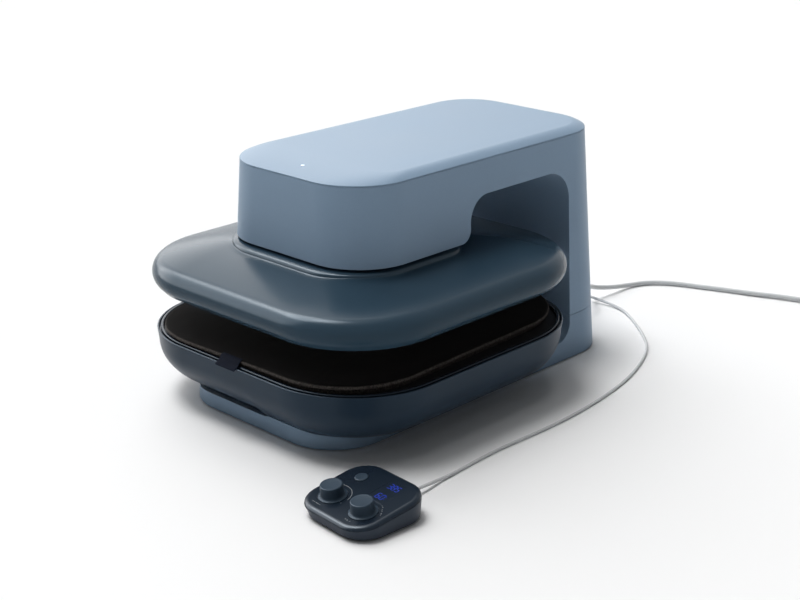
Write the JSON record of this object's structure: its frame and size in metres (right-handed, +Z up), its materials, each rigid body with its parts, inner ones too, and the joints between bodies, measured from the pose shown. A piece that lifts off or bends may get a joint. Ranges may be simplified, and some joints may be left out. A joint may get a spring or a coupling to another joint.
{
  "type": "automatic heat press",
  "caption": "Desktop clamshell heat press: a C-shaped arm lowers a heated upper plate onto a padded bed, set from a separate wired control pod.",
  "frame": {"origin": "on the table under the centre of the plates", "axes": "+X to the machine's right seen from the front, +Y from the front to the back, +Z up"},
  "size_m": [0.5581, 1.1701, 0.3152],
  "materials": {
    "housing_plastic": "satin moulded",
    "dark_plastic": "satin moulded",
    "trim_plastic": "polished",
    "black_coating": "matt baked coating",
    "mat_fabric": "woven",
    "tag_fabric": "woven",
    "steel": "zinc plated",
    "aluminium": "cast and machined",
    "brass": "machined",
    "rubber": "moulded",
    "cord_jacket": "soft vinyl",
    "circuit_board": "varnished",
    "insulation": "pressed fibre",
    "display_window": "polished",
    "light_lens": "frosted",
    "dial_plastic": "satin moulded",
    "dark_steel": "black oxide"
  },
  "bodies": {
    "base": {"base_housing": "housing_plastic", "base_plate": "dark_steel", "rubber_feet": "rubber", "lower_bowl": "dark_plastic", "bowl_trim_ring": "trim_plastic", "bed_plate": "black_coating", "mat": "mat_fabric", "mat_tag": "tag_fabric", "bowl_screws": "steel", "hinge_bracket": "steel", "hinge_pin": "steel", "power_board": "circuit_board", "latch_solenoid": "dark_steel", "power_cord_relief": "cord_jacket", "power_cord": "cord_jacket", "power_cord_coil": "cord_jacket", "cord_tie": "rubber", "power_plug": "cord_jacket", "plug_blades": "brass", "pod_cord_socket": "cord_jacket", "pod_cord": "cord_jacket", "pod_cord_relief": "cord_jacket", "pod_shell": "dark_plastic", "pod_face": "dark_plastic", "pod_base": "dark_plastic", "pod_feet": "rubber", "pod_display": "display_window", "pod_board": "circuit_board", "dial_encoders": "dark_steel", "button_switch": "dark_steel", "pod_screws": "steel"},
    "arm": {"arm_housing": "housing_plastic", "top_cover": "housing_plastic", "status_light": "light_lens", "arm_frame": "dark_steel", "arm_hinge_leaf": "steel", "hinge_bushes": "brass", "latch_striker": "steel", "press_motor": "steel", "thrust_bearing": "steel", "guide_plate": "aluminium", "guide_bushes": "brass", "control_board": "circuit_board", "cover_screws": "steel"},
    "platen": {"platen_cover": "dark_plastic", "neck_shroud": "black_coating", "guide_rods": "steel", "platen_carrier": "dark_steel", "drive_nut": "brass", "insulation_board": "insulation", "heating_element": "dark_steel", "heat_plate": "aluminium", "plate_spacers": "insulation", "temperature_sensor": "brass"},
    "screw": {"lead_screw": "steel", "shaft_coupling": "aluminium"},
    "bolt": {"latch_bolt": "steel"},
    "temperature_knob": {"temperature_dial": "dial_plastic"},
    "time_knob": {"time_dial": "dial_plastic"},
    "button": {"power_button": "dial_plastic"}
  },
  "joints": [
    {"name": "arm_lift", "type": "hinge", "parent": "base", "child": "arm", "pos_m": [0, 0.34208, 0.0615], "axis": [-1, 0, 0], "range_deg": [0, 40]},
    {"name": "press", "type": "slide", "parent": "arm", "child": "platen", "axis": [0, 0, -1], "range_m": [0, 0.045]},
    {"name": "drive_turn", "type": "hinge", "parent": "arm", "child": "screw", "pos_m": [0, 0, 0.2], "axis": [0, 0, 1], "range_deg": [0, 1620]},
    {"name": "latch_bolt_slide", "type": "slide", "parent": "base", "child": "bolt", "axis": [1, 0, 0], "range_m": [0, 0.008], "stiffness_N_per_m": 120},
    {"name": "temperature_turn", "type": "hinge", "parent": "base", "child": "temperature_knob", "pos_m": [0.23681, -0.27761, 0.02046], "axis": [-0.0103, -0.1383, 0.9903], "continuous": true},
    {"name": "time_turn", "type": "hinge", "parent": "base", "child": "time_knob", "pos_m": [0.28787, -0.2814, 0.02046], "axis": [-0.0103, -0.1383, 0.9903], "continuous": true},
    {"name": "power_press", "type": "slide", "parent": "base", "child": "button", "axis": [0.0103, 0.1383, -0.9903], "range_m": [0, 0.001], "stiffness_N_per_m": 1500}
  ],
  "couplings": [
    {"joint": "drive_turn", "follows": "press", "rad_per_m": 628.32}
  ]
}
